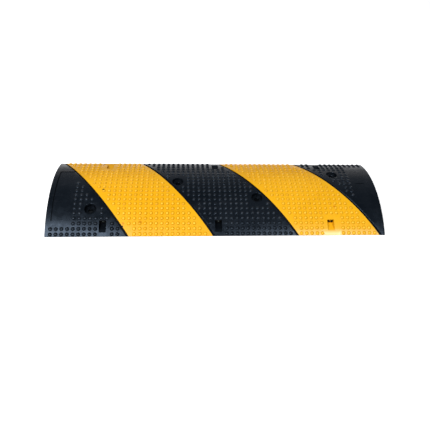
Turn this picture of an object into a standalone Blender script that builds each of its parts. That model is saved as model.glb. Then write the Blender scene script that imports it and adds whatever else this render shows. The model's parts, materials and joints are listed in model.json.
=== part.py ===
"""A one metre rubber speed bump module with two slanted yellow bands and six cat-eye reflectors.

Metres, +Z up. The origin is the centre of the underside, +X runs along the bump, across the road,
and -Y is the front slope. The module looks the same after half a turn about Z.
"""

import math

import bmesh
import bpy

# Overall size. The crown is one circular arc, which ends in a low upright edge.
LENGTH = 1.000
WIDTH = 0.300
HEIGHT = 0.042
EDGE_HEIGHT = 0.002
CROWN_STEPS = 44

# Free space between pieces that touch.
GAP = 0.0003

# Yellow bands: slanted sheets let into the crown, flush with it, each with an open groove beside it.
BAND_CENTRE_X = {"left": -LENGTH / 4, "right": LENGTH / 4}
BAND_WIDTH = 0.244
BAND_THICKNESS = 0.005
BAND_SLANT = 0.74
BAND_EDGE_SKIN = 0.001
GROOVE_WIDTH = 0.005
GROOVE_DEPTH = 0.003
GROOVE_EDGE_SKIN = 0.0012

# Bolt holes: one of each pair, as (x, y, height of the bolt seat). Half a turn gives the other one.
BOLT_HOLES = ((-0.375, -0.071, 0.0235), (-0.120, 0.033, 0.0300))
BOLT_HOLE_RADIUS = 0.007
COUNTERBORE_RADIUS = 0.017
COUNTERBORE_CHAMFER = 0.001
ROUND_STEPS = 32

# Reflector niches: level pockets in both slopes, open at the foot of the slope.
SLOPES = {"front": -1, "rear": 1}
NICHE_X = {"left": -0.337, "centre": 0.0, "right": 0.337}
NICHE_WIDTH = 0.020
NICHE_FLOOR_Z = 0.006
NICHE_BACK_Y = 0.107
NICHE_MOUTH_Y = 0.138
LEDGE_WIDTH = 0.050

# Each band runs over one niche of its own side: the left band at the rear, the right one at the
# front. There the niche is sunk in a thick block under the yellow sheet.
BAND_NICHE_SLOPE = {"left": SLOPES["rear"], "right": SLOPES["front"]}
BOSS_WIDTH = 0.028
BOSS_FLOOR_Z = 0.003
BOSS_BACK_Y = 0.093
BOSS_FRONT_Y = 0.141
BOSS_OVERLAP = 0.0025

# Reflector: a moulded socket in the back wall of the niche, holding one glass bead.
SOCKET_WIDTH = 0.018
SOCKET_DEPTH = 0.010
SOCKET_BOTTOM_Z = 0.0095
SOCKET_TOP_Z = 0.0205
SOCKET_WALL = 0.0015
SOCKET_RECESS = 0.004
SOCKET_BEVEL = 0.0004
LENS_RADIUS = 0.0042
LENS_SEAT_DEPTH = 0.003
LENS_STEPS = 24
LENS_RINGS = 6

# Shallow sunk panels near the two ends, as (lowest x, highest x, lowest y, highest y).
END_PANELS = ((-0.485, -0.440, -0.107, 0.086), (0.439, 0.468, -0.045, 0.026))
PANEL_DEPTH = 0.0012

# How far a cutter runs past the surface that it cuts, and how far two cutters share a space.
OVERRUN = 0.010
CUTTER_OVERLAP = 0.0015

BLACK_RUBBER = ("black_rubber", (0.018, 0.019, 0.021), 0.55)
YELLOW_RUBBER = ("yellow_rubber", (0.95, 0.48, 0.015), 0.55)
SOCKET_PLASTIC = ("socket_plastic", (0.010, 0.010, 0.011), 0.35)
LENS_GLASS = ("lens_glass", (0.85, 0.88, 0.90), 0.05)

ARC_RISE = HEIGHT - EDGE_HEIGHT
ARC_RADIUS = ((WIDTH / 2) ** 2 + ARC_RISE**2) / (2 * ARC_RISE)


def clear_scene():
    for obj in list(bpy.data.objects):
        bpy.data.objects.remove(obj, do_unlink=True)


def material(finish):
    name, colour, roughness = finish
    found = bpy.data.materials.get(name)
    if found:
        return found
    made = bpy.data.materials.new(name)
    made.use_nodes = True
    shader = made.node_tree.nodes["Principled BSDF"]
    shader.inputs["Base Color"].default_value = (*colour, 1.0)
    shader.inputs["Roughness"].default_value = roughness
    shader.inputs["Metallic"].default_value = 0.0
    return made


def link(name, mesh, finish=None):
    obj = bpy.data.objects.new(name, mesh)
    bpy.context.collection.objects.link(obj)
    if finish:
        mesh.materials.append(material(finish))
    else:
        obj.hide_render = True
        obj.display_type = "WIRE"
    return obj


def mesh_from(name, build):
    """A mesh that build(bm) fills, with its faces turned outwards."""
    bm = bmesh.new()
    build(bm)
    bmesh.ops.recalc_face_normals(bm, faces=bm.faces)
    mesh = bpy.data.meshes.new(name)
    bm.to_mesh(mesh)
    bm.free()
    return mesh


def cut(obj, cutters):
    for cutter in cutters:
        modifier = obj.modifiers.new(f"cut_{cutter.name}", "BOOLEAN")
        modifier.operation = "DIFFERENCE"
        modifier.solver = "EXACT"
        modifier.object = cutter


def join_solid(obj, other):
    modifier = obj.modifiers.new(f"join_{other.name}", "BOOLEAN")
    modifier.operation = "UNION"
    modifier.solver = "EXACT"
    modifier.object = other


def smooth(mesh, degrees=30):
    mesh.shade_smooth()
    mesh.set_sharp_from_angle(angle=math.radians(degrees))


def crown_z(y):
    """Height of the crown at y, which stays at the edge height outside the bump."""
    if abs(y) >= WIDTH / 2:
        return EDGE_HEIGHT
    return HEIGHT - ARC_RADIUS + math.sqrt(ARC_RADIUS**2 - y**2)


def crown_y(z):
    """Distance from the centre line at which the crown has height z."""
    return math.sqrt(ARC_RADIUS**2 - (z - HEIGHT + ARC_RADIUS) ** 2)


def crown_stations(low_y, high_y):
    """Values of y between two limits, at equal angles of the crown's arc."""
    half_angle = math.asin(WIDTH / 2 / ARC_RADIUS)
    inner = [
        ARC_RADIUS * math.sin(half_angle * (2 * step / CROWN_STEPS - 1))
        for step in range(1, CROWN_STEPS)
    ]
    margin = 0.0005
    kept = [y for y in inner if low_y + margin < y < high_y - margin]
    return [low_y, *kept, high_y]


def crown_line(low_y, high_y, drop=0.0, lowest=0.0):
    """Points (y, z) along the crown, lowered by drop but never under lowest."""
    stations = crown_stations(low_y, high_y)
    if lowest > 0:
        kink = crown_y(lowest + drop)
        stations += [y for y in (-kink, kink) if low_y < y < high_y]
    return [(y, max(crown_z(y) - drop, lowest)) for y in sorted(stations)]


def add_prism(bm, outline, low_x, high_x, slant=0.0):
    """A solid from an outline of (y, z) points, between two planes x = constant - slant * y."""
    low, high = (
        [bm.verts.new((x - slant * y, y, z)) for y, z in outline] for x in (low_x, high_x)
    )
    for index in range(len(outline)):
        before = index - 1
        bm.faces.new((low[before], high[before], high[index], low[index]))
    bm.faces.new(low)
    bm.faces.new(high)


def prism(name, outline, low_x, high_x, slant=0.0, finish=None):
    mesh = mesh_from(name, lambda bm: add_prism(bm, outline, low_x, high_x, slant))
    return link(name, mesh, finish)


def box(name, low, high, finish=None):
    outline = [(low[1], low[2]), (high[1], low[2]), (high[1], high[2]), (low[1], high[2])]
    return prism(name, outline, low[0], high[0], finish=finish)


def band_outline(drop, edge_skin):
    """The space above the crown lowered by drop, running past both edges of the bump."""
    reach = WIDTH / 2 + OVERRUN
    floor = crown_line(-WIDTH / 2, WIDTH / 2, drop, edge_skin)
    top = HEIGHT + OVERRUN
    return [(-reach, edge_skin), *floor, (reach, edge_skin), (reach, top), (-reach, top)]


def band_cutters(side, centre_x):
    """The seat of one yellow band, and the wider and shallower cut that leaves its two grooves."""
    seat_half = BAND_WIDTH / 2 + GAP
    groove_half = BAND_WIDTH / 2 + GROOVE_WIDTH
    seat = band_outline(BAND_THICKNESS + GAP, BAND_EDGE_SKIN)
    groove = band_outline(GROOVE_DEPTH, GROOVE_EDGE_SKIN)
    cutters = []
    for use, outline, half in (("seat", seat, seat_half), ("groove", groove, groove_half)):
        name = f"cutter_{use}_{side}"
        cutters.append(prism(name, outline, centre_x - half, centre_x + half, BAND_SLANT))
    return cutters


def boss_outline(slope, grow, top_drop):
    """The block under a band's niche. slope is -1 on the front slope and 1 on the rear one."""
    limits = sorted((slope * (BOSS_BACK_Y - grow), slope * (BOSS_FRONT_Y + grow)))
    top = crown_line(*limits, drop=top_drop)
    floor_z = BOSS_FLOOR_Z - grow
    return [(limits[0], floor_z), (limits[1], floor_z), *reversed(top)]


def boss_cutter(side, centre_x, slope):
    half = BOSS_WIDTH / 2 + GAP
    outline = boss_outline(slope, GAP, BOSS_OVERLAP)
    return prism(f"cutter_boss_{side}", outline, centre_x - half, centre_x + half)


def add_cylinder(bm, centre, radius, low_z, high_z):
    made = bmesh.ops.create_cone(
        bm,
        cap_ends=True,
        segments=ROUND_STEPS,
        radius1=radius,
        radius2=radius,
        depth=high_z - low_z,
    )
    bmesh.ops.translate(bm, verts=made["verts"], vec=(*centre, (low_z + high_z) / 2))


def add_counterbore(bm, centre, seat_z):
    """A counterbore cutter whose mouth flares where it meets the crown."""
    x, y = centre
    flared = COUNTERBORE_RADIUS + COUNTERBORE_CHAMFER
    levels = (
        (COUNTERBORE_RADIUS, None),
        (COUNTERBORE_RADIUS, -COUNTERBORE_CHAMFER),
        (flared, 0.0),
        (flared, OVERRUN),
    )
    rings = []
    for radius, above_crown in levels:
        ring = []
        for step in range(ROUND_STEPS):
            angle = 2 * math.pi * step / ROUND_STEPS
            point_y = y + radius * math.sin(angle)
            z = seat_z if above_crown is None else crown_z(point_y) + above_crown
            ring.append(bm.verts.new((x + radius * math.cos(angle), point_y, z)))
        rings.append(ring)
    add_rings(bm, rings)
    bm.faces.new(rings[0])
    bmesh.ops.triangulate(bm, faces=[bm.faces.new(rings[-1])])


def add_rings(bm, rings):
    """The faces between each ring of vertices and the next one."""
    for one, other in zip(rings, rings[1:]):
        for step in range(len(one)):
            bm.faces.new((one[step - 1], one[step], other[step], other[step - 1]))


def bolt_hole_cutters():
    cutters = []
    for pair, (x, y, seat_z) in enumerate(BOLT_HOLES, start=1):
        for turn, sign in (("a", 1), ("b", -1)):
            centre = (sign * x, sign * y)
            high_z = seat_z + CUTTER_OVERLAP
            parts = (
                ("counterbore", lambda bm: add_counterbore(bm, centre, seat_z)),
                ("bolt_hole", lambda bm: add_cylinder(bm, centre, BOLT_HOLE_RADIUS, -OVERRUN, high_z)),
            )
            for use, build in parts:
                name = f"cutter_{use}_{pair}{turn}"
                cutters.append(link(name, mesh_from(name, build)))
    return cutters


def niche_cutters(side, centre_x, slope):
    """Cutters of one niche: the ledge at the slope's foot, the level pocket, the socket's seat."""
    foot_y = WIDTH / 2
    ledge_slope = (NICHE_FLOOR_Z - EDGE_HEIGHT) / (foot_y - NICHE_MOUTH_Y)
    past_y = foot_y + OVERRUN
    past_z = EDGE_HEIGHT - OVERRUN * ledge_slope
    roof_z = HEIGHT + OVERRUN
    ledge = [
        (slope * past_y, past_z),
        (slope * NICHE_MOUTH_Y, NICHE_FLOOR_Z),
        (slope * NICHE_MOUTH_Y, roof_z),
        (slope * past_y, roof_z),
    ]
    pocket_front = NICHE_MOUTH_Y + CUTTER_OVERLAP
    pocket = [
        (slope * pocket_front, NICHE_FLOOR_Z),
        (slope * NICHE_BACK_Y, NICHE_FLOOR_Z),
        (slope * NICHE_BACK_Y, roof_z),
        (slope * pocket_front, roof_z),
    ]
    half_ledge = LEDGE_WIDTH / 2
    half_niche = NICHE_WIDTH / 2
    half_socket = SOCKET_WIDTH / 2 + GAP
    seat_limits = (NICHE_BACK_Y + CUTTER_OVERLAP, NICHE_BACK_Y - SOCKET_DEPTH - GAP)
    seat_y = sorted(slope * limit for limit in seat_limits)
    seat_low = (centre_x - half_socket, seat_y[0], SOCKET_BOTTOM_Z - GAP)
    seat_high = (centre_x + half_socket, seat_y[1], SOCKET_TOP_Z + GAP)
    return [
        prism(f"cutter_ledge_{side}", ledge, centre_x - half_ledge, centre_x + half_ledge),
        prism(f"cutter_niche_{side}", pocket, centre_x - half_niche, centre_x + half_niche),
        box(f"cutter_socket_{side}", seat_low, seat_high),
    ]


def panel_cutters():
    cutters = []
    for number, (low_x, high_x, low_y, high_y) in enumerate(END_PANELS, start=1):
        floor = crown_line(low_y, high_y, PANEL_DEPTH)
        roof = crown_line(low_y, high_y, -OVERRUN)
        outline = [*floor, *reversed(roof)]
        cutters.append(prism(f"cutter_end_panel_{number}", outline, low_x, high_x))
    return cutters


def make_rubber_body(cutters):
    crown = crown_line(-WIDTH / 2, WIDTH / 2)
    outline = [(-WIDTH / 2, 0.0), (WIDTH / 2, 0.0), *reversed(crown)]
    body = prism("rubber_body", outline, -LENGTH / 2, LENGTH / 2, finish=BLACK_RUBBER)
    smooth(body.data)
    cut(body, cutters)


def make_band(side, centre_x, slope, cutters):
    """One yellow band, with the block that holds its niche."""
    underside = crown_line(-WIDTH / 2, WIDTH / 2, BAND_THICKNESS, BAND_EDGE_SKIN + GAP)
    outline = [*underside, *reversed(crown_line(-WIDTH / 2, WIDTH / 2))]
    low_x = centre_x - BAND_WIDTH / 2
    high_x = centre_x + BAND_WIDTH / 2
    band = prism(f"yellow_band_{side}", outline, low_x, high_x, BAND_SLANT, YELLOW_RUBBER)
    smooth(band.data)
    boss = boss_outline(slope, 0.0, BOSS_OVERLAP)
    boss_x = NICHE_X[side]
    half_boss = BOSS_WIDTH / 2
    join_solid(band, prism(f"block_{side}", boss, boss_x - half_boss, boss_x + half_boss))
    cut(band, cutters)


def make_socket(end, side, centre_x, slope):
    """A socket: a block with an open front recess, and a round seat for the bead behind it."""
    front_y = slope * NICHE_BACK_Y
    back_y = slope * (NICHE_BACK_Y - SOCKET_DEPTH)
    half = SOCKET_WIDTH / 2
    low = (centre_x - half, min(front_y, back_y), SOCKET_BOTTOM_Z)
    high = (centre_x + half, max(front_y, back_y), SOCKET_TOP_Z)
    socket = box(f"reflector_socket_{end}_{side}", low, high, SOCKET_PLASTIC)
    bevel = socket.modifiers.new("rounded_edges", "BEVEL")
    bevel.width = SOCKET_BEVEL
    bevel.segments = 2

    recess_limits = (NICHE_BACK_Y + OVERRUN, NICHE_BACK_Y - SOCKET_RECESS)
    recess_y = sorted(slope * limit for limit in recess_limits)
    recess_low = (low[0] + SOCKET_WALL, recess_y[0], SOCKET_BOTTOM_Z + SOCKET_WALL)
    recess_high = (high[0] - SOCKET_WALL, recess_y[1], SOCKET_TOP_Z - SOCKET_WALL)
    recess = box(f"cutter_recess_{end}_{side}", recess_low, recess_high)

    seat_end = NICHE_BACK_Y - SOCKET_RECESS - LENS_SEAT_DEPTH
    outline = [(LENS_RADIUS + GAP, NICHE_BACK_Y), (LENS_RADIUS + GAP, seat_end)]
    seat = turned(f"cutter_lens_seat_{end}_{side}", outline, centre_x, slope)
    cut(socket, [recess, seat])
    return socket


def turned(name, outline, centre_x, slope, finish=None):
    """A closed solid turned about the bead's axis, from points (radius, distance from y = 0)."""
    axis_z = (SOCKET_BOTTOM_Z + SOCKET_TOP_Z) / 2

    def build(bm):
        rings = []
        for radius, distance in outline:
            ring = []
            for step in range(LENS_STEPS):
                angle = 2 * math.pi * step / LENS_STEPS
                x = centre_x + radius * math.cos(angle)
                ring.append(bm.verts.new((x, slope * distance, axis_z + radius * math.sin(angle))))
            rings.append(ring)
        add_rings(bm, rings)
        bm.faces.new(rings[0])
        bm.faces.new(rings[-1])

    return link(name, mesh_from(name, build), finish)


def make_lens(end, side, centre_x, slope):
    """A glass bead: a short round stem in the socket's seat, and a domed nose."""
    stem_back = NICHE_BACK_Y - SOCKET_RECESS - LENS_SEAT_DEPTH + GAP
    stem_front = NICHE_BACK_Y - SOCKET_RECESS
    outline = [(LENS_RADIUS, stem_back)]
    for ring in range(LENS_RINGS):
        angle = math.pi / 2 * ring / LENS_RINGS
        outline.append((LENS_RADIUS * math.cos(angle), stem_front + LENS_RADIUS * math.sin(angle)))
    lens = turned(f"reflector_lens_{end}_{side}", outline, centre_x, slope, LENS_GLASS)
    smooth(lens.data)
    return lens


def main():
    clear_scene()
    body_cutters = bolt_hole_cutters() + panel_cutters()
    band_niches = {}
    for end, slope in SLOPES.items():
        for side, niche_x in NICHE_X.items():
            cutters = niche_cutters(f"{end}_{side}", niche_x, slope)
            if BAND_NICHE_SLOPE.get(side) == slope:
                band_niches[side] = cutters
            else:
                body_cutters += cutters
            make_socket(end, side, niche_x, slope)
            make_lens(end, side, niche_x, slope)

    for side, centre_x in BAND_CENTRE_X.items():
        slope = BAND_NICHE_SLOPE[side]
        body_cutters += band_cutters(side, centre_x)
        body_cutters.append(boss_cutter(side, NICHE_X[side], slope))
        make_band(side, centre_x, slope, band_niches[side])
    make_rubber_body(body_cutters)


main()
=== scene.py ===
"""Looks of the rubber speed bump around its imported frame.

Studded black rubber, two studded amber bands, reflectors, floor, lights and camera. Lengths are
in metres. The crown is followed by two coordinates: x along the bump, and the arc length s from
the foot of the front slope. The studs, bands, niches and bolt holes repeat under half a turn
about Z, and the end panels and the wear don't.
"""

import json
import math
import random

import bpy
import numpy as np
from mathutils import Matrix, Vector


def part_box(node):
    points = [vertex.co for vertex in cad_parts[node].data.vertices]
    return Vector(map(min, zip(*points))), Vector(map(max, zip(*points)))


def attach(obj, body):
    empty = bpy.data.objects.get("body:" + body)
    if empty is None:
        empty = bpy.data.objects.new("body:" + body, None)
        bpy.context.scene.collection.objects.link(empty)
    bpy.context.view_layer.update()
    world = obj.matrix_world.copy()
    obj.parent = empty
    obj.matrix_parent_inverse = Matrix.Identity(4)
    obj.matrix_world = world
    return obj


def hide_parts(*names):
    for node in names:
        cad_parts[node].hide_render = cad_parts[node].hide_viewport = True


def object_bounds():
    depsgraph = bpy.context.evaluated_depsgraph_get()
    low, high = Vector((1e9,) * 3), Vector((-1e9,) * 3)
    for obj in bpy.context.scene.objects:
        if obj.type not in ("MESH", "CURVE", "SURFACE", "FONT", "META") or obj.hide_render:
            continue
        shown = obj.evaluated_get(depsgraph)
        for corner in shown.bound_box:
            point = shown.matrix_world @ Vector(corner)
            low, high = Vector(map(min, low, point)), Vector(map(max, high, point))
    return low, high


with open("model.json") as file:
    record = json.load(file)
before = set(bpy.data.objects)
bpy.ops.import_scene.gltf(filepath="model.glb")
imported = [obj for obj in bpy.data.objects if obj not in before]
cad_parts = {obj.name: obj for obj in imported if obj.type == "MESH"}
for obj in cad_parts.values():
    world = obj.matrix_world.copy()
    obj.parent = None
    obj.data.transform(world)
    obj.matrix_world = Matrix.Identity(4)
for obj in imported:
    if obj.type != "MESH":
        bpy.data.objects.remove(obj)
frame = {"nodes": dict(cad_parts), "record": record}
CAD_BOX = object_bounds()

MM = 0.001

# The crown, from the frame's own box: one circular arc that ends in a low upright lip.
HALF_LENGTH = CAD_BOX[1].x
HALF_WIDTH = CAD_BOX[1].y
HEIGHT = CAD_BOX[1].z
LIP_HEIGHT = 2 * MM
RISE = HEIGHT - LIP_HEIGHT
RADIUS = (HALF_WIDTH**2 + RISE**2) / (2 * RISE)
HALF_ANGLE = math.asin(HALF_WIDTH / RADIUS)
ARC = 2 * HALF_ANGLE * RADIUS
# How far a cutter reaches past the bump.
OVERRUN = 10 * MM
# Air between the rubber and a band or socket, as in the frame.
GAP = 0.3 * MM

# Studs: a square grid of domed buttons, as (radius, height) from foot to top. The outermost ring
# lies flat on the crown, so that the dome's shading ends at its foot.
COLUMNS = 62
ROWS = 20
PITCH = 2 * HALF_LENGTH / (COLUMNS + 1)
FIRST_ROW = ARC / 2 - (ROWS - 1) / 2 * PITCH
STUD_PROFILE = (
    (6.2 * MM, 0.0 * MM),
    (5.95 * MM, 0.0 * MM),
    (5.7 * MM, 0.14 * MM),
    (5.4 * MM, 0.6 * MM),
    (4.9 * MM, 1.18 * MM),
    (4.15 * MM, 1.8 * MM),
    (3.15 * MM, 2.37 * MM),
    (2.05 * MM, 2.77 * MM),
    (1.0 * MM, 2.97 * MM),
)
STUD_TOP = 3.03 * MM
# The share of its height that the most worn stud keeps.
LOWEST_STUD = 0.75
# Mesh edges along one side of the square round a stud.
SIDE_STEPS = 5
# The shoulder along both ends of the bump, as (distance in from the end, height).
END_SHOULDER = ((0.0, -1.1 * MM), (0.12 * MM, -0.55 * MM), (0.45 * MM, -0.16 * MM), (1.1 * MM, 0.0))
# Points nearer than this are one point.
MERGE_STEP = 0.001 * MM

# Bands: placed as in the frame, with rounded shoulders. The open groove on either side is a little
# wider and deeper than the frame's.
BAND_CENTRE = {"left": -HALF_LENGTH / 2, "right": HALF_LENGTH / 2}
BAND_HALF = 122 * MM
BAND_SLANT = 0.74
BAND_THICKNESS = 5 * MM
BAND_FOOT_SKIN = 1 * MM
GROOVE_WIDTH = 6.2 * MM
GROOVE_DEPTH = 4.4 * MM
GROOVE_FOOT_SKIN = 1.2 * MM
SLANT_COSINE = 1 / math.hypot(1, BAND_SLANT)

# Free space that the studs leave around other features.
STUD_TO_BAND_EDGE = {"yellow": 11 * MM, "outermost": 7 * MM, "black": 14.5 * MM}
STUD_TO_BOLT_HOLE = 29 * MM
# A band's niche has no studs in this many rows from the foot, out to this distance on either side.
BAND_NICHE_ROWS = 4
BAND_NICHE_CLEAR = 1.7 * PITCH
# The same for the niche in the middle of the bump.
CENTRE_NICHE_ROWS = 3
CENTRE_NICHE_CLEAR = 22 * MM

# Niches and bolt holes, with their places from the record.
NICHE_HALF = 10 * MM
NICHE_FLOOR = 6 * MM
NICHE_BACK = 107 * MM
NICHE_MOUTH = 138 * MM
NICHE_DRAFT = 0.06
NICHE_DRAFT_HEIGHT = 12 * MM
LEDGE_TOP = 12 * MM
BAND_LEDGE_HALF = 15 * MM
LEDGE_FLARE = 2.0
BLACK_LEDGE_HALF = 11.5 * MM
BLACK_LEDGE_DIP = 0.5 * MM
BOLT_HOLE_RADIUS = 7 * MM
COUNTERBORE_RADIUS = 17 * MM
# How far a counterbore's opening in the record starts above its seat.
OPENING_TO_SEAT = 0.5 * MM
BAND_NICHES = {"left": "niche_rear_left", "right": "niche_front_right"}
BOSS_HALF = 14 * MM
BOSS_FLOOR = 3 * MM
BOSS_BACK = 93 * MM
BOSS_FRONT = 141 * MM
BOSS_BELOW_CROWN = 2.5 * MM

# Sunk panels near the two ends, as (lowest x, highest x, lowest y, highest y).
END_PANELS = (
    (-485 * MM, -440 * MM, -107 * MM, 86 * MM),
    (439 * MM, 468 * MM, -45 * MM, 26 * MM),
)
PANEL_DEPTH = 1.2 * MM
PANEL_CORNER = 4 * MM
PANEL_GROOVE_WIDTH = 2.6 * MM
PANEL_GROOVE_DEPTH = 2.8 * MM

# Points round a hole, and stations along a band, a block and a panel.
ROUND_STEPS = 48
BAND_STATIONS = 61
BOSS_STATIONS = 12
PANEL_STATIONS = 33

SHARP_ANGLE = math.radians(32)

# Small marks, as (x, y, radius): a dark spot in a corner of the left panel, and marks of wear on
# the bands.
PANEL_CORNER_SPOT = (-484 * MM, -105 * MM, 2.2 * MM)
YELLOW_BLACK_SPOTS = ((-343 * MM, -4 * MM, 3.6 * MM), (-280.5 * MM, -124 * MM, 2.6 * MM))
YELLOW_ORANGE_SPOTS = (
    (-229 * MM, -112 * MM, 4 * MM),
    (355 * MM, -66 * MM, 4 * MM),
    (-278 * MM, -116 * MM, 3.5 * MM),
    (-136 * MM, 60 * MM, 3 * MM),
)


# ---------------------------------------------------------------- places on the crown


def crown_height(y):
    """Height of the crown at y, which is the lip's height outside the bump."""
    inside = np.minimum(np.abs(y), HALF_WIDTH)
    return HEIGHT - RADIUS + np.sqrt(RADIUS**2 - inside**2)


def arc_length(y):
    """Arc length from the front foot to the crown at y."""
    return (math.asin(y / RADIUS) + HALF_ANGLE) * RADIUS


def on_crown(x, s, lift):
    """Points at x and arc length s, lifted off the crown along its normal."""
    angle = s / RADIUS - HALF_ANGLE
    reach = RADIUS + lift
    return np.stack([x, reach * np.sin(angle), HEIGHT - RADIUS + reach * np.cos(angle)], axis=-1)


OPENINGS = {o["name"]: o["box_m"] for o in frame["record"]["physics"]["openings"]}


def opening_centre(name):
    low, high = OPENINGS[name]
    return Vector(low).lerp(Vector(high), 0.5)


def openings_named(start):
    return sorted(name for name in OPENINGS if name.startswith(start))


BOLT_CENTRES = [opening_centre(name) for name in openings_named("bolt_hole")]
SEAT_HEIGHT = {
    name: Vector(OPENINGS[name][0]).z - OPENING_TO_SEAT for name in openings_named("counterbore")
}
NICHES = {name: opening_centre(name) for name in openings_named("niche")}


# ---------------------------------------------------------------- which studs are there


def band_distance(x, y, side):
    """Distance along x from a band's centre line, measured level."""
    return x + BAND_SLANT * y - BAND_CENTRE[side]


def stud_place(column, row):
    """(x, s, y) of the middle of a stud."""
    s = FIRST_ROW + row * PITCH
    x = -HALF_LENGTH + (column + 1) * PITCH
    return x, s, RADIUS * math.sin(s / RADIUS - HALF_ANGLE)


def from_foot(row, y):
    """The number of a row, counted from the foot of its own slope."""
    return row if y < 0 else ROWS - 1 - row


def near_a_bolt(x, s):
    distances = [math.hypot(x - c.x, s - arc_length(c.y)) for c in BOLT_CENTRES]
    return min(distances) < STUD_TO_BOLT_HOLE


def in_band(x, y, side, margin):
    """Whether a point is in a band, by at least margin from its edges, measured square to them."""
    return (BAND_HALF - abs(band_distance(x, y, side))) * SLANT_COSINE > margin


def left_end_pattern(column, row):
    """The studs of the black triangle at the left end, which the right end repeats turned."""
    columns_by_row = (
        (*range(9), *range(11, 15)),
        (*range(9), *range(11, 15)),
        (*range(4, 9), *range(11, 14)),
        range(4, 11),
        (4, 5, 9),
        (4, 5, 9),
        (4, 5),
        range(4, 8),
        range(4, 7),
        (4, 5),
        (4, 5),
        (4,),
    )
    return row < len(columns_by_row) and column in columns_by_row[row]


def studs_of(colour, side=None):
    """The (column, row) pairs of the studs in the black rubber, or in one yellow band."""
    found = []
    for row in range(ROWS):
        for column in range(COLUMNS):
            x, s, y = stud_place(column, row)
            if colour == "yellow":
                present = yellow_stud(x, y, row, side)
            else:
                present = black_stud(x, s, y, column, row)
            if present:
                found.append((column, row))
    return found


def yellow_stud(x, y, row, side):
    """Whether a band has a stud here, away from its edges and from its own niche."""
    outermost = row in (0, ROWS - 1)
    margin = STUD_TO_BAND_EDGE["outermost" if outermost else "yellow"]
    niche = NICHES[BAND_NICHES[side]]
    by_niche = from_foot(row, niche.y) < BAND_NICHE_ROWS and abs(x - niche.x) < BAND_NICHE_CLEAR
    return in_band(x, y, side, margin) and not by_niche


def black_stud(x, s, y, column, row):
    """Whether the black rubber has a stud here."""
    reach = {side: abs(band_distance(x, y, side)) - BAND_HALF for side in BAND_CENTRE}
    if min(reach.values()) * SLANT_COSINE < STUD_TO_BAND_EDGE["black"]:
        return False
    if band_distance(x, y, "left") < 0:
        return left_end_pattern(column, row)
    if band_distance(x, y, "right") > 0:
        return left_end_pattern(COLUMNS - 1 - column, ROWS - 1 - row)
    if near_a_bolt(x, s):
        return False
    return from_foot(row, y) >= CENTRE_NICHE_ROWS or abs(x) > CENTRE_NICHE_CLEAR


# ---------------------------------------------------------------- mesh helpers


def new_object(name, points, faces):
    mesh = bpy.data.meshes.new(name)
    mesh.from_pydata(np.asarray(points).tolist(), [], [list(map(int, f)) for f in faces])
    mesh.validate()
    obj = bpy.data.objects.new(name, mesh)
    bpy.context.scene.collection.objects.link(obj)
    return obj


def merged(points, faces):
    """Points in the same place made one, and the faces renumbered."""
    keys = np.round(np.asarray(points) / MERGE_STEP).astype(np.int64)
    _, first, index = np.unique(keys, axis=0, return_index=True, return_inverse=True)
    index = index.reshape(-1)
    renumbered = [[int(index[v]) for v in face] for face in faces]
    return np.asarray(points)[first], renumbered


def boolean(obj, other, operation):
    """Applies one Boolean to obj's mesh and removes the other object."""
    modifier = obj.modifiers.new("boolean", "BOOLEAN")
    modifier.operation = operation
    modifier.solver = "MANIFOLD"
    modifier.object = other
    graph = bpy.context.evaluated_depsgraph_get()
    mesh = bpy.data.meshes.new_from_object(obj.evaluated_get(graph))
    obj.modifiers.clear()
    obj.data = mesh
    bpy.data.objects.remove(other)


def ring_faces(rings, count):
    """Quads between each ring of numbered points and the next one."""
    faces = []
    for start, after in zip(rings, rings[1:]):
        for step in range(count):
            turn = (step + 1) % count
            faces.append((start + step, start + turn, after + turn, after + step))
    return faces


def lofted(name, sections):
    """A closed solid through sections of the same number of points, in order."""
    count = len(sections[0])
    points = [point for section in sections for point in section]
    starts = [count * i for i in range(len(sections))]
    faces = ring_faces(starts, count)
    faces.append(list(range(count))[::-1])
    faces.append([starts[-1] + i for i in range(count)])
    obj = new_object(name, points, faces)
    face_outwards(obj)
    return obj


def face_outwards(obj):
    """Turns a closed mesh the right way out, by the sign of its volume."""
    mesh = obj.data
    mesh.calc_loop_triangles()
    corners = np.array([[mesh.vertices[v].co for v in t.vertices] for t in mesh.loop_triangles])
    volume = np.einsum("ij,ij->i", corners[:, 0], np.cross(corners[:, 1], corners[:, 2])).sum()
    if volume < 0:
        mesh.flip_normals()


def joined(name, objects):
    """One object from several."""
    points, faces = [], []
    for obj in objects:
        start = len(points)
        points += [tuple(v.co) for v in obj.data.vertices]
        faces += [[start + v for v in p.vertices] for p in obj.data.polygons]
        bpy.data.objects.remove(obj)
    return new_object(name, points, faces)


# ---------------------------------------------------------------- the studded slab


def lines_between(edges, steps):
    """Each span between two edges cut into equal steps."""
    return [np.linspace(low, high, steps + 1) for low, high in zip(edges, edges[1:])]


def cell_border(xs, ss):
    """The border points of one grid cell, in order round it."""
    lower = [(x, ss[0]) for x in xs[:-1]]
    right = [(xs[-1], s) for s in ss[:-1]]
    upper = [(x, ss[-1]) for x in xs[:0:-1]]
    left = [(xs[0], s) for s in ss[:0:-1]]
    return np.array(lower + right + upper + left)


def stud_rings(x, s, around, worn):
    """The rings of one stud from foot to top, as (x, s, height) points, with its height worn."""
    # A ring starts towards the lower left corner of its square, as the square's border does.
    turns = (np.arange(around) / around - 3 / 8) * 2 * math.pi
    rings = []
    for radius, height in STUD_PROFILE:
        ring_x = x + radius * np.cos(turns)
        ring_s = s + radius * np.sin(turns)
        rings.append(np.column_stack([ring_x, ring_s, np.full(around, height * worn)]))
    return rings


def plain_strip(stations, s_all, first, flipped):
    """A strip without studs through (x, height) stations: its points, and its faces from first."""
    count = len(s_all)
    points = [np.column_stack([np.full(count, x), s_all, np.full(count, z)]) for x, z in stations]
    faces = []
    for i in range(len(stations) - 1):
        for j in range(count - 1):
            a = first + i * count + j
            b = a + count
            quad = (a, b, b + 1, a + 1)
            faces.append(quad[::-1] if flipped else quad)
    return np.concatenate(points), faces


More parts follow.
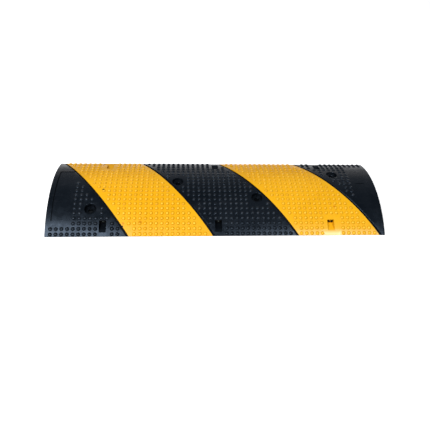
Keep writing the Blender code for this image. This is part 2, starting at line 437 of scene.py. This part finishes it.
def studded_slab(name, studs):
    """The whole bump as one closed solid, with the listed studs standing on its crown."""
    studs = set(studs)
    wear = random.Random(name)
    x_edges = [-HALF_LENGTH + PITCH * (i + 0.5) for i in range(COLUMNS + 1)]
    s_edges = [0.0] + [FIRST_ROW + PITCH * (i + 0.5) for i in range(ROWS - 1)] + [ARC]
    x_lines = lines_between(x_edges, SIDE_STEPS)
    s_lines = lines_between(s_edges, SIDE_STEPS)
    around = 4 * SIDE_STEPS
    flat, faces = [], []
    total = 0
    for column in range(COLUMNS):
        for row in range(ROWS):
            x, s, _ = stud_place(column, row)
            border = cell_border(x_lines[column], s_lines[row])
            rings = [np.column_stack([border, np.zeros(around)])]
            tip = 0.0
            if (column, row) in studs:
                worn = 1 - (1 - LOWEST_STUD) * wear.random() ** 3
                rings += stud_rings(x, s, around, worn)
                tip = STUD_TOP * worn
            starts = [total + around * i for i in range(len(rings))]
            faces += ring_faces(starts, around)
            top = starts[-1]
            middle = top + around
            faces += [(top + i, top + (i + 1) % around, middle) for i in range(around)]
            flat += [*rings, np.array([[x, s, tip]])]
            total = middle + 1

    s_all = np.unique(np.concatenate(s_lines).round(9))
    for end in (-1, 1):
        stations = [(end * (HALF_LENGTH - inset), height) for inset, height in END_SHOULDER]
        stations.append((x_edges[0] if end < 0 else x_edges[-1], 0.0))
        strip, strip_faces = plain_strip(stations, s_all, total, end > 0)
        flat.append(strip)
        faces += strip_faces
        total += len(strip)

    flat = np.concatenate(flat)
    points = on_crown(flat[:, 0], flat[:, 1], flat[:, 2])
    points, faces = merged(points, faces)
    return close_slab(name, points, faces)


def close_slab(name, points, faces):
    """Adds the upright lips, the ends and the flat underside to the crown's surface."""
    open_edges = {}
    for face in faces:
        for a, b in zip(face, face[1:] + face[:1]):
            if (b, a) in open_edges:
                del open_edges[(b, a)]
            else:
                open_edges[(a, b)] = True
    following = dict(open_edges.keys())
    loop = [next(iter(following))]
    while following[loop[-1]] != loop[0]:
        loop.append(following[loop[-1]])
    floor_start = len(points)
    floor = points[loop].copy()
    floor[:, 2] = 0.0
    count = len(loop)
    sides = []
    for i in range(count):
        j = (i + 1) % count
        sides.append([loop[j], loop[i], floor_start + i, floor_start + j])
    centre = floor_start + count
    sides += [[floor_start + (i + 1) % count, floor_start + i, centre] for i in range(count)]
    all_points = np.concatenate([points, floor, [[0.0, 0.0, 0.0]]])
    obj = new_object(name, all_points, faces + sides)
    face_outwards(obj)
    return obj


# ---------------------------------------------------------------- cutters


def y_stations(low, high, count):
    """Values of y at equal steps of arc between two limits."""
    angles = np.linspace(math.asin(low / RADIUS), math.asin(high / RADIUS), count)
    return RADIUS * np.sin(angles)


def sloped_section(u, drop, skin, centre_x):
    """Outline of all the space above the crown lowered by drop, in the slanted plane at u."""
    ys = y_stations(-HALF_WIDTH, HALF_WIDTH, BAND_STATIONS)
    reach = HALF_WIDTH + OVERRUN
    top = HEIGHT + OVERRUN
    foot = max(LIP_HEIGHT - drop, skin)
    outline = [(-reach, foot)]
    outline += [(y, max(crown_height(y) - drop, skin)) for y in ys]
    outline += [(reach, foot), (reach, top), (-reach, top)]
    return [(centre_x + u - BAND_SLANT * y, y, z) for y, z in outline]


def band_seat_cutter(side):
    """The room for one band: its seat, and the rounded groove along both of its edges."""
    outer = BAND_HALF + GROOVE_WIDTH
    seat = BAND_HALF + GAP
    half = (
        (outer + 2.1 * MM, -0.06 * MM),
        (outer + 1.6 * MM, 0.06 * MM),
        (outer + 0.8 * MM, 0.42 * MM),
        (outer + 0.2 * MM, 1.05 * MM),
        (outer, 1.8 * MM),
        (outer - 0.2 * MM, GROOVE_DEPTH - 0.6 * MM),
        (outer - 0.9 * MM, GROOVE_DEPTH),
        (seat + 0.001 * MM, GROOVE_DEPTH),
    )
    groove = [(u, d, GROOVE_FOOT_SKIN) for u, d in half]
    deep = [(seat, BAND_THICKNESS + GAP, BAND_FOOT_SKIN)]
    lines = [(-u, d, k) for u, d, k in groove + deep] + (groove + deep)[::-1]
    sections = [sloped_section(u, d, k, BAND_CENTRE[side]) for u, d, k in lines]
    return lofted(f"seat_{side}", sections)


def band_volume(side):
    """The space of one band, with rounded shoulders, open above so that its studs stay."""
    ys = y_stations(-HALF_WIDTH, HALF_WIDTH, BAND_STATIONS)
    low = [(y, max(crown_height(y) - BAND_THICKNESS, BAND_FOOT_SKIN + GAP)) for y in ys]
    half = (
        (BAND_HALF, 1.1 * MM),
        (BAND_HALF - 0.15 * MM, 0.55 * MM),
        (BAND_HALF - 0.5 * MM, 0.15 * MM),
        (BAND_HALF - 1.2 * MM, -0.05 * MM),
        (BAND_HALF - 3.0 * MM, -4.0 * MM),
    )
    lines = [(-u, d) for u, d in half] + list(half[::-1])
    sections = []
    for u, drop in lines:
        high = [(y, max(crown_height(y) - drop, z + 0.1 * MM)) for y, z in low]
        ends = [(HALF_WIDTH + OVERRUN, high[-1][1]), (-HALF_WIDTH - OVERRUN, high[0][1])]
        feet = [(-HALF_WIDTH - OVERRUN, low[0][1]), (HALF_WIDTH + OVERRUN, low[-1][1])]
        outline = [feet[0], *low, feet[1], ends[0], *high[::-1], ends[1]]
        sections.append([(BAND_CENTRE[side] + u - BAND_SLANT * y, y, z) for y, z in outline])
    return lofted(f"volume_{side}", sections)


def boss_solid(side, grow):
    """The block under a band's own niche, grown on all sides but its top."""
    centre = NICHES[BAND_NICHES[side]]
    slope = math.copysign(1, centre.y)
    limits = sorted((slope * (BOSS_BACK - grow), slope * (BOSS_FRONT + grow)))
    ys = y_stations(*limits, BOSS_STATIONS)
    outline = [(limits[0], BOSS_FLOOR - grow), (limits[1], BOSS_FLOOR - grow)]
    outline += [(y, crown_height(y) - BOSS_BELOW_CROWN) for y in ys[::-1]]
    half = BOSS_HALF + grow
    sections = [[(centre.x + end * half, y, z) for y, z in outline] for end in (-1, 1)]
    return lofted(f"boss_{side}", sections)


def ring_round(centre, radius, height_at):
    """A circle as seen from above, whose points have the height that height_at(y) gives."""
    ring = []
    for turn in np.arange(ROUND_STEPS) / ROUND_STEPS * 2 * math.pi:
        x = centre.x + radius * math.cos(turn)
        y = centre.y + radius * math.sin(turn)
        ring.append((x, y, height_at(y)))
    return ring


def counterbore_cutter(name):
    """A counterbore with a rounded mouth and a rounded foot."""
    centre = opening_centre(name)
    seat = SEAT_HEIGHT[name]
    foot = (
        (COUNTERBORE_RADIUS - 0.8 * MM, seat),
        (COUNTERBORE_RADIUS - 0.2 * MM, seat + 0.2 * MM),
        (COUNTERBORE_RADIUS, seat + 0.9 * MM),
    )
    mouth = (
        (COUNTERBORE_RADIUS, -1.6 * MM),
        (COUNTERBORE_RADIUS + 0.2 * MM, -0.8 * MM),
        (COUNTERBORE_RADIUS + 0.7 * MM, -0.22 * MM),
        (COUNTERBORE_RADIUS + 1.5 * MM, 0.03 * MM),
        (COUNTERBORE_RADIUS + 1.6 * MM, OVERRUN),
    )
    sections = [ring_round(centre, radius, lambda y, z=z: z) for radius, z in foot]
    for radius, lift in mouth:
        sections.append(ring_round(centre, radius, lambda y, lift=lift: crown_height(y) + lift))
    return lofted(f"cut_{name}", sections)


def bolt_cutter(name):
    """A through hole with a small chamfer where it leaves the seat."""
    centre = opening_centre(name)
    seat = SEAT_HEIGHT[name.replace("bolt_hole", "counterbore")]
    levels = (
        (BOLT_HOLE_RADIUS, -OVERRUN),
        (BOLT_HOLE_RADIUS, seat - 0.9 * MM),
        (BOLT_HOLE_RADIUS + 0.9 * MM, seat + 0.001 * MM),
        (BOLT_HOLE_RADIUS + 0.9 * MM, seat + 1.5 * MM),
    )
    sections = [ring_round(centre, radius, lambda y, z=z: z) for radius, z in levels]
    return lofted(f"cut_{name}", sections)


def wedge(name, centre_x, outline, half_at):
    """A solid with the outline of (y, z) points, as wide at each height z as twice half_at(z)."""
    sections = []
    for end in (-1, 1):
        sections.append([(half_at(z) * end + centre_x, y, z) for y, z in outline])
    return lofted(name, sections)


def ledge_cutter(name):
    """The open step at the slope's foot: a level ramp in a band, a shallow dip in the black."""
    centre = NICHES[name]
    slope = math.copysign(1, centre.y)
    past = slope * (HALF_WIDTH + OVERRUN)
    roof = HEIGHT + OVERRUN
    if name not in BAND_NICHES.values():
        ys = np.linspace(HALF_WIDTH, NICHE_MOUTH - 2 * MM, 6)
        dip = [(slope * y, crown_height(y) - BLACK_LEDGE_DIP) for y in ys]
        outline = [(past, dip[0][1]), *dip, (dip[-1][0], roof), (past, roof)]
        return wedge(f"ledge_{name}", centre.x, outline, lambda z: BLACK_LEDGE_HALF)
    fall = OVERRUN * (NICHE_FLOOR - LIP_HEIGHT) / (HALF_WIDTH - NICHE_MOUTH)
    inner = slope * (NICHE_MOUTH - (LEDGE_TOP - NICHE_FLOOR))
    outline = [
        (past, LIP_HEIGHT - fall),
        (slope * HALF_WIDTH, LIP_HEIGHT),
        (slope * NICHE_MOUTH, NICHE_FLOOR),
        (inner, LEDGE_TOP),
        (inner, roof),
        (past, roof),
        (past, LEDGE_TOP),
    ]

    def half_at(z):
        return BAND_LEDGE_HALF + min(max(z, 0), NICHE_FLOOR) * LEDGE_FLARE

    return wedge(f"ledge_{name}", centre.x, outline, half_at)


def niche_cutters(name):
    """The ledge at the slope's foot, the level pocket and the socket's seat."""
    centre = NICHES[name]
    slope = math.copysign(1, centre.y)
    roof = HEIGHT + OVERRUN
    bend = 2 * NICHE_DRAFT_HEIGHT
    front = slope * (NICHE_MOUTH + 1.5 * MM)
    leaning_back = slope * (NICHE_BACK - 0.4 * MM)
    pocket = [
        (front, NICHE_FLOOR),
        (slope * NICHE_BACK, NICHE_FLOOR),
        (leaning_back, bend),
        (leaning_back, roof),
        (front, roof),
        (front, bend),
    ]

    def half_at(z):
        return NICHE_HALF + min(z - NICHE_FLOOR, NICHE_DRAFT_HEIGHT) * NICHE_DRAFT

    pocket_cut = wedge(f"pocket_{name}", centre.x, pocket, half_at)
    low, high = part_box(name.replace("niche", "reflector_socket"))
    y_near = slope * (NICHE_BACK + 1 * MM)
    y_far = min(low.y, high.y, key=abs) - slope * GAP
    seat = [
        (y_near, low.z - GAP),
        (y_far, low.z - GAP),
        (y_far, high.z + GAP),
        (y_near, high.z + GAP),
    ]
    half = (high.x - low.x) / 2 + GAP
    seat_cut = wedge(f"socket_seat_{name}", centre.x, seat, lambda z: half)
    return ledge_cutter(name), pocket_cut, seat_cut


def panel_cutter(number, depth=PANEL_DEPTH, left=0.0, right=0.0, front=0.0, back=0.0):
    """A shallow recess with rounded corners that follows the crown.

    left, right, front and back say how far each of its sides moves inwards.
    """
    low_x, high_x, low_y, high_y = END_PANELS[number]
    low_x, high_x = low_x + left, high_x - right
    low_s, high_s = arc_length(low_y) + front, arc_length(high_y) - back
    stations = np.linspace(0, 1, PANEL_STATIONS)
    eased = (1 - np.cos(stations * math.pi)) / 2
    sections = []
    for s in low_s + (high_s - low_s) * eased:
        to_end = min(s - low_s, high_s - s)
        corner = max(PANEL_CORNER - to_end, 0.0)
        rounding = PANEL_CORNER - math.sqrt(max(PANEL_CORNER**2 - corner**2, 0.0))
        rounding = min(rounding, PANEL_CORNER * 0.98)
        section = []
        for side, edge in ((-1, low_x + rounding), (1, high_x - rounding)):
            lips = ((0.5 * MM, -depth), (0.2 * MM, -depth * 0.8), (-0.4 * MM, 0.03 * MM))
            line = [(edge - side * lean, lift) for lean, lift in lips]
            line.append((edge + side * 0.4 * MM, OVERRUN))
            section += line if side < 0 else line[::-1]
        xs = np.array([x for x, _ in section])
        lifts = np.array([lift for _, lift in section])
        sections.append([tuple(p) for p in on_crown(xs, np.full(len(xs), s), lifts)])
    return lofted(f"panel_{number}", sections)


def panel_groove_cutter():
    """The narrow groove along two sides of the left panel: a deeper recess, less its middle."""
    groove = panel_cutter(0, PANEL_GROOVE_DEPTH)
    width = PANEL_GROOVE_WIDTH
    middle = panel_cutter(0, PANEL_GROOVE_DEPTH + OVERRUN, width, -width, -width, width)
    boolean(groove, middle, "DIFFERENCE")
    return groove


# ---------------------------------------------------------------- materials


class Nodes:
    """One node material in the making."""

    def __init__(self, name, **constants):
        self.material = bpy.data.materials.new(name)
        self.material.use_nodes = True
        self.tree = self.material.node_tree
        self.shader = self.tree.nodes["Principled BSDF"]
        for socket, value in constants.items():
            self.shader.inputs[socket.replace("_", " ")].default_value = value

    def add(self, kind, settings=None, **inputs):
        """A new node, whose inputs are given by name, or by number as _0, _1 and so on."""
        node = self.tree.nodes.new(kind)
        for key, value in (settings or {}).items():
            setattr(node, key, value)
        for key, value in inputs.items():
            self.feed(node.inputs[int(key[1:])] if key[1:].isdigit() else node.inputs[key], value)
        return node

    def feed(self, socket, value):
        if isinstance(value, bpy.types.NodeSocket):
            self.tree.links.new(value, socket)
        else:
            socket.default_value = value

    def place(self):
        return self.add("ShaderNodeTexCoord").outputs["Object"]

    def math(self, operation, a, b=0.0):
        return self.add("ShaderNodeMath", {"operation": operation}, _0=a, _1=b).outputs[0]

    def ramp(self, value, low, high, to_low=0.0, to_high=1.0):
        """The value carried smoothly from one range to another."""
        node = self.add(
            "ShaderNodeMapRange",
            {"interpolation_type": "SMOOTHSTEP"},
            _0=value, _1=low, _2=high, _3=to_low, _4=to_high,
        )
        return node.outputs[0]

    def noise(self, scale, detail=4.0, roughness=0.55):
        node = self.add("ShaderNodeTexNoise", Vector=self.place())
        node.inputs["Scale"].default_value = scale
        node.inputs["Detail"].default_value = detail
        node.inputs["Roughness"].default_value = roughness
        return node.outputs["Fac"]

    def mix(self, factor, one, other):
        node = self.add("ShaderNodeMix", {"data_type": "RGBA"}, Factor=factor)
        colours = [socket for socket in node.inputs if socket.type == "RGBA"]
        self.feed(colours[0], one)
        self.feed(colours[1], other)
        return next(socket for socket in node.outputs if socket.type == "RGBA")

    def hypot(self, a, b):
        """The long side of a right triangle with the sides a and b."""
        square = self.math("ADD", self.math("MULTIPLY", a, a), self.math("MULTIPLY", b, b))
        return self.math("SQRT", square)

    def relief(self):
        """Height above the smooth crown, in millimetres."""
        parts = self.add("ShaderNodeSeparateXYZ", Vector=self.place()).outputs
        upright = self.math("ADD", parts["Z"], RADIUS - HEIGHT)
        reach = self.hypot(parts["Y"], upright)
        return self.math("MULTIPLY", self.math("SUBTRACT", reach, RADIUS), 1 / MM)

    def along(self, axis):
        """Position along one axis of the frame, in metres."""
        return self.add("ShaderNodeSeparateXYZ", Vector=self.place()).outputs[axis]

    def from_band_middle(self):
        """Distance along x from the middle line of the nearer band, in metres."""
        slant = self.math("MULTIPLY", self.along("Y"), BAND_SLANT)
        level = self.math("ABSOLUTE", self.math("ADD", self.along("X"), slant))
        return self.math("ABSOLUTE", self.math("SUBTRACT", level, BAND_CENTRE["right"]))

    def spot(self, x, y, radius):
        """One ragged spot, seen from above."""
        across = self.math("SUBTRACT", self.along("X"), x)
        along = self.math("SUBTRACT", self.along("Y"), y)
        ragged = self.ramp(self.noise(450.0, 3.0), 0.3, 0.7, -0.5 * radius, 0.5 * radius)
        distance = self.math("ADD", self.hypot(across, along), ragged)
        return self.ramp(distance, radius * 1.2, radius * 0.8)

    def bumps(self, *layers):
        """Layers of (height, strength, distance) bump, one on the other."""
        normal = None
        for height, strength, distance in layers:
            node = self.add("ShaderNodeBump", Height=height)
            node.inputs["Strength"].default_value = strength
            node.inputs["Distance"].default_value = distance
            if normal is not None:
                self.feed(node.inputs["Normal"], normal)
            normal = node.outputs["Normal"]
        self.feed(self.shader.inputs["Normal"], normal)


def rgb(red, green, blue):
    return (red, green, blue, 1.0)


def black_rubber():
    """Bluish black with dust: stud tops lighter in front, partly wear and partly painted highlight,
    a painted sheen between the studs on the rear slope, and painted shade in the grooves and
    recesses.
    """
    m = Nodes("black_rubber", Specular_IOR_Level=0.19, Specular_Tint=rgb(0.58, 0.75, 1.0))
    relief = m.relief()
    cloud = m.noise(9.0, 5.0)
    mottle = m.noise(60.0, 4.0)
    grain = m.noise(900.0, 3.0, 0.6)
    towards_rear = m.ramp(m.along("Y"), 45 * MM, 95 * MM)
    base = m.mix(m.ramp(cloud, 0.35, 0.7), rgb(0.0030, 0.0045, 0.0066), rgb(0.0058, 0.0080, 0.0110))
    # Lighter stud tops, left out on the rear slope and faded at the front foot: partly wear, partly
    # a painted highlight.
    worn = m.math("MULTIPLY", m.ramp(relief, 1.9, 2.8), m.ramp(mottle, 0.30, 0.65, 0.15, 0.85))
    worn = m.math("MULTIPLY", worn, m.ramp(towards_rear, 0.0, 1.0, 1.0, 0.0))
    worn = m.math("MULTIPLY", worn, m.ramp(m.along("Y"), -128 * MM, -104 * MM, 0.12, 1.0))
    base = m.mix(worn, base, rgb(0.031, 0.035, 0.041))
    dust = m.ramp(m.noise(24.0, 6.0, 0.65), 0.54, 0.80, 0.0, 0.3)
    base = m.mix(dust, base, rgb(0.026, 0.029, 0.034))
    # Painted sheen: lighter between the studs on the rear slope.
    bare_crown = m.math("MULTIPLY", m.ramp(relief, 0.3, 0.05), m.ramp(relief, -1.0, -0.4))
    rear_painted_sheen = m.math("MULTIPLY", towards_rear, bare_crown)
    base = m.mix(rear_painted_sheen, base, rgb(0.0185, 0.0190, 0.0200))
    # Painted shade: near black down in the grooves beside the bands and round the left panel. The
    # spot in the panel's corner takes the same near black.
    groove_edge = BAND_HALF + GROOVE_WIDTH
    by_band = m.ramp(m.from_band_middle(), groove_edge + 1.2 * MM, groove_edge + 0.2 * MM)
    by_panel = m.ramp(m.along("X"), END_PANELS[0][1] + 8 * MM, END_PANELS[0][1] + 4 * MM)
    groove = m.math("MULTIPLY", m.math("MAXIMUM", by_band, by_panel), m.ramp(relief, -1.4, -2.0))
    sunk = m.math("MAXIMUM", groove, m.spot(*PANEL_CORNER_SPOT))
    base = m.mix(sunk, base, rgb(0.0012, 0.0014, 0.0018))
    # Painted shade: darker deep in the recesses.
    recess = m.ramp(relief, -5.0, -8.0, 0.0, 0.6)
    base = m.mix(recess, base, rgb(0.0012, 0.0014, 0.0018))
    m.feed(m.shader.inputs["Base Color"], base)
    rear_stud = m.math("MULTIPLY", towards_rear, m.ramp(relief, 0.15, 0.8))
    matt = m.ramp(m.math("MAXIMUM", sunk, m.math("MULTIPLY", rear_stud, 0.75)), 0.0, 1.0, 0.0, 0.75)
    gloss = m.ramp(mottle, 0.3, 0.7, 0.20, 0.33)
    m.feed(m.shader.inputs["Roughness"], m.math("MAXIMUM", gloss, matt))
    m.bumps((m.noise(35.0, 4.0), 0.12, 0.002), (mottle, 0.10, 0.0008), (grain, 0.08, 0.0002))
    return m.material


def yellow_rubber():
    """Amber with stains: painted shade up the rear slope and on the stud sides, stud tops lighter
    partly from wear and partly as a painted highlight, and a pale painted highlight by the front
    niche.
    """
    m = Nodes("yellow_rubber", Specular_IOR_Level=0.14)
    relief = m.relief()
    cloud = m.noise(7.0, 5.0)
    mottle = m.noise(70.0, 4.0)
    grain = m.noise(900.0, 3.0, 0.6)
    x, y = m.along("X"), m.along("Y")
    base = m.mix(m.ramp(cloud, 0.35, 0.7), rgb(0.70, 0.345, 0.006), rgb(0.735, 0.372, 0.009))
    # Painted shade: darker towards the rear slope, which faces away from the lamps.
    base = m.mix(m.ramp(y, 10 * MM, 150 * MM, 0.0, 0.42), base, rgb(0.36, 0.165, 0.006))
    # Painted shade: the stud sides darker and more orange.
    stud_side_painted_shade = m.math("MULTIPLY", m.ramp(relief, 0.1, 0.6), m.ramp(relief, 2.3, 1.3))
    base = m.mix(m.math("MULTIPLY", stud_side_painted_shade, 0.62), base, rgb(0.47, 0.205, 0.003))
    # Lighter stud tops: partly wear, partly a painted highlight.
    worn = m.math("MULTIPLY", m.ramp(relief, 2.0, 2.7), m.ramp(mottle, 0.35, 0.65, 0.35, 0.8))
    base = m.mix(worn, base, rgb(0.86, 0.52, 0.045))
    stain = m.ramp(m.noise(33.0, 6.0, 0.7), 0.60, 0.80, 0.0, 0.5)
    base = m.mix(stain, base, rgb(0.54, 0.22, 0.008))
    # Painted highlight: a pale cream patch on the foot beside the front niche, between the studs.
    niche = NICHES["niche_front_right"]
    at_foot = m.math("MULTIPLY", m.ramp(y, -130 * MM, -147 * MM), m.ramp(relief, 0.6, 0.1))
    beside = m.math("ABSOLUTE", m.math("SUBTRACT", x, niche.x))
    ledge_painted_highlight = m.math("MULTIPLY", at_foot, m.ramp(beside, 36 * MM, 22 * MM, 0.25, 0.9))
    ledge_painted_highlight = m.math("MULTIPLY", ledge_painted_highlight, m.ramp(x, 200 * MM, 260 * MM))
    base = m.mix(ledge_painted_highlight, base, rgb(0.90, 0.74, 0.36))
    for place in YELLOW_ORANGE_SPOTS:
        base = m.mix(m.math("MULTIPLY", m.spot(*place), 0.6), base, rgb(0.48, 0.15, 0.004))
    for place in YELLOW_BLACK_SPOTS:
        base = m.mix(m.spot(*place), base, rgb(0.006, 0.005, 0.004))
    wall = m.ramp(m.from_band_middle(), BAND_HALF - 1.2 * MM, BAND_HALF - 0.5 * MM)
    wall = m.math("MULTIPLY", wall, m.ramp(relief, -0.7, -1.3))
    base = m.mix(wall, base, rgb(0.006, 0.005, 0.004))
    m.feed(m.shader.inputs["Base Color"], base)
    m.feed(m.shader.inputs["Roughness"], m.ramp(mottle, 0.3, 0.7, 0.24, 0.38))
    m.bumps((m.noise(35.0, 4.0), 0.10, 0.002), (mottle, 0.10, 0.0008), (grain, 0.08, 0.0002))
    return m.material


def socket_plastic():
    m = Nodes("socket_plastic", Specular_IOR_Level=0.15)
    mottle = m.noise(300.0, 4.0)
    grain = m.noise(2500.0, 3.0)
    base = m.mix(mottle, rgb(0.0022, 0.0022, 0.0026), rgb(0.0050, 0.0050, 0.0058))
    m.feed(m.shader.inputs["Base Color"], base)
    m.feed(m.shader.inputs["Roughness"], m.ramp(mottle, 0.3, 0.7, 0.35, 0.5))
    m.bumps((grain, 0.3, 0.0001))
    return m.material


def lens_glass(name, bright, dim):
    """Moulded glass, with a painted reflection: duller towards its outline, by the angle it is seen
    at.
    """
    m = Nodes(name, Specular_IOR_Level=0.5, Metallic=0.7)
    swirl = m.noise(700.0, 2.0)
    # Painted reflection: the colour goes from bright, face on, to dim at the outline.
    facing = m.add("ShaderNodeLayerWeight")
    facing.inputs["Blend"].default_value = 0.45
    colour = m.mix(facing.outputs["Facing"], bright, dim)
    colour = m.mix(m.ramp(swirl, 0.55, 0.75, 0.0, 0.25), colour, bright)
    m.feed(m.shader.inputs["Base Color"], colour)
    m.feed(m.shader.inputs["Roughness"], m.ramp(swirl, 0.3, 0.7, 0.10, 0.22))
    return m.material


def floor_white():
    """Near white, and lit a little from inside so that it stays white away from the lights."""
    m = Nodes("floor_white", Specular_IOR_Level=0.2, Roughness=0.9)
    m.shader.inputs["Emission Color"].default_value = rgb(1.0, 1.0, 1.0)
    m.shader.inputs["Emission Strength"].default_value = 0.3
    base = m.mix(m.noise(3.0), rgb(0.93, 0.93, 0.93), rgb(0.96, 0.96, 0.96))
    m.feed(m.shader.inputs["Base Color"], base)
    return m.material


# ---------------------------------------------------------------- pieces


def finished(obj, material, slot, *nodes):
    """Shading, finish and place in the frame of one new piece."""
    mesh = obj.data
    mesh.materials.clear()
    mesh.materials.append(material)
    mesh.shade_smooth()
    mesh.set_sharp_from_angle(angle=SHARP_ANGLE)
    weighted = obj.modifiers.new("weighted", "WEIGHTED_NORMAL")
    weighted.keep_sharp = True
    graph = bpy.context.evaluated_depsgraph_get()
    mesh = bpy.data.meshes.new_from_object(obj.evaluated_get(graph))
    obj.modifiers.clear()
    obj.data = mesh
    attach(obj, "root")
    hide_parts(*nodes)
    return obj


def make_body(material):
    """The black rubber: the studded slab, less everything that is sunk into it."""
    body = studded_slab("rubber_body_studded", studs_of("black"))
    for side in BAND_CENTRE:
        boolean(body, band_seat_cutter(side), "DIFFERENCE")
    bosses = [boss_solid(side, GAP) for side in BAND_CENTRE]
    boolean(body, joined("bosses", bosses), "DIFFERENCE")
    counterbores = [counterbore_cutter(name) for name in openings_named("counterbore")]
    boolean(body, joined("counterbores", counterbores), "DIFFERENCE")
    bolts = [bolt_cutter(name) for name in openings_named("bolt_hole")]
    boolean(body, joined("bolts", bolts), "DIFFERENCE")
    black_niches = [name for name in NICHES if name not in BAND_NICHES.values()]
    parts = zip(*(niche_cutters(name) for name in black_niches))
    for number, cutters in enumerate(parts):
        boolean(body, joined(f"niches_{number}", cutters), "DIFFERENCE")
    panels = [panel_cutter(number) for number in range(len(END_PANELS))]
    boolean(body, joined("panels", panels), "DIFFERENCE")
    boolean(body, panel_groove_cutter(), "DIFFERENCE")
    return finished(body, material, "black_rubber", "rubber_body")


def make_band(side, material):
    """One yellow band: its share of a studded slab, with the block round its own niche."""
    band = studded_slab(f"yellow_band_{side}_studded", studs_of("yellow", side))
    boolean(band, band_volume(side), "INTERSECT")
    boolean(band, boss_solid(side, 0.0), "UNION")
    for cutter in niche_cutters(BAND_NICHES[side]):
        boolean(band, cutter, "DIFFERENCE")
    return finished(band, material, "yellow_rubber", f"yellow_band_{side}")


def dress_frame_nodes():
    """The sockets and beads keep their solids, and take detailed finishes."""
    socket = socket_plastic()
    # One lens part in two colours, a painted reflection of the rubber round it: dark grey where it
    # sits in black rubber, amber where it sits in a yellow band.
    grey_painted_reflection_glass = lens_glass("lens_grey_painted_reflection", rgb(0.085, 0.105, 0.095), rgb(0.025, 0.032, 0.028))
    amber_painted_reflection_glass = lens_glass("lens_amber_painted_reflection", rgb(0.62, 0.33, 0.03), rgb(0.30, 0.14, 0.01))
    in_bands = [name.replace("niche", "reflector_lens") for name in BAND_NICHES.values()]
    for name, obj in frame["nodes"].items():
        if name.startswith("reflector_socket"):
            material = socket
        elif name.startswith("reflector_lens"):
            material = amber_painted_reflection_glass if name in in_bands else grey_painted_reflection_glass
        else:
            continue
        for slot in obj.material_slots:
            slot.material = material


# ---------------------------------------------------------------- studio


def make_floor():
    """A plain floor that reaches past the view."""
    half = 4.2
    corners = [(-half, -half, 0.0), (half, -half, 0.0), (half, half, 0.0), (-half, half, 0.0)]
    floor = new_object("floor", corners, [(0, 1, 2, 3)])
    floor.data.materials.append(floor_white())


def turned_to(back, roll=0.0):
    """The turn that makes a lamp or camera look against back, the direction behind it."""
    return back.to_track_quat("Z", "Y").to_matrix().to_4x4() @ Matrix.Rotation(-roll, 4, "Z")


def softbox(name, place, size, power):
    """A white rectangular lamp that faces the middle of the bump."""
    light = bpy.data.lights.new(name, "AREA")
    light.shape = "RECTANGLE"
    light.size, light.size_y = size
    light.energy = power
    obj = bpy.data.objects.new(name, light)
    bpy.context.scene.collection.objects.link(obj)
    obj.matrix_world = Matrix.Translation(place) @ turned_to(Vector(place).normalized())


def studio_world():
    """What the bump mirrors: dark overhead and in front, with a pale low backdrop behind it.

    The camera itself sees plain white past the floor.
    """
    world = bpy.data.worlds.new("studio")
    bpy.context.scene.world = world
    world.use_nodes = True
    tree = world.node_tree
    background = tree.nodes["Background"]
    direction = tree.nodes.new("ShaderNodeTexCoord").outputs["Generated"]
    parts = tree.nodes.new("ShaderNodeSeparateXYZ")
    tree.links.new(direction, parts.inputs[0])

    def fade(value, low, high):
        node = tree.nodes.new("ShaderNodeMapRange")
        node.interpolation_type = "SMOOTHSTEP"
        tree.links.new(value, node.inputs[0])
        node.inputs[1].default_value = low
        node.inputs[2].default_value = high
        return node.outputs[0]

    low_down = fade(parts.outputs["Z"], 0.80, 0.55)
    behind = fade(parts.outputs["Y"], -0.3, 0.3)
    both = tree.nodes.new("ShaderNodeMath")
    both.operation = "MULTIPLY"
    tree.links.new(low_down, both.inputs[0])
    tree.links.new(behind, both.inputs[1])
    mix = tree.nodes.new("ShaderNodeMix")
    mix.data_type = "RGBA"
    tree.links.new(both.outputs[0], mix.inputs["Factor"])
    colours = [socket for socket in mix.inputs if socket.type == "RGBA"]
    colours[0].default_value = rgb(0.050, 0.060, 0.080)
    colours[1].default_value = rgb(0.40, 0.40, 0.42)
    result = next(socket for socket in mix.outputs if socket.type == "RGBA")
    tree.links.new(result, background.inputs["Color"])
    seen = tree.nodes.new("ShaderNodeBackground")
    seen.inputs["Color"].default_value = rgb(1.0, 1.0, 1.0)
    to_camera = tree.nodes.new("ShaderNodeLightPath").outputs["Is Camera Ray"]
    either = tree.nodes.new("ShaderNodeMixShader")
    tree.links.new(to_camera, either.inputs[0])
    tree.links.new(background.outputs[0], either.inputs[1])
    tree.links.new(seen.outputs[0], either.inputs[2])
    tree.links.new(either.outputs[0], tree.nodes["World Output"].inputs["Surface"])


def make_lights():
    studio_world()
    softbox("softbox_left", (-1.68, -1.52, 3.50), (2.1, 1.9), 196)
    softbox("softbox_right", (1.30, -1.60, 3.50), (1.1, 1.0), 58)


def make_camera():
    """The camera of a picture 430 pixels wide and high, without shift."""
    picture = 430
    focal_pixels = 467.47
    distance = 1.42
    elevation, azimuth, roll = (math.radians(a) for a in (49.953, -6.123, -4.525))
    target = Vector((-7.43 * MM, -69.18 * MM, 0.0))
    level = math.cos(elevation)
    back = Vector((math.sin(azimuth) * level, -math.cos(azimuth) * level, math.sin(elevation)))
    data = bpy.data.cameras.new("camera")
    data.sensor_width = 36.0
    data.lens = focal_pixels * data.sensor_width / picture
    camera = bpy.data.objects.new("camera", data)
    bpy.context.scene.collection.objects.link(camera)
    camera.matrix_world = Matrix.Translation(target + back * distance) @ turned_to(back, roll)
    bpy.context.scene.camera = camera


def main():
    make_camera()
    make_body(black_rubber())
    yellow = yellow_rubber()
    for side in BAND_CENTRE:
        make_band(side, yellow)
    dress_frame_nodes()
    make_floor()
    make_lights()
    bpy.context.scene.view_settings.view_transform = "Standard"


main()
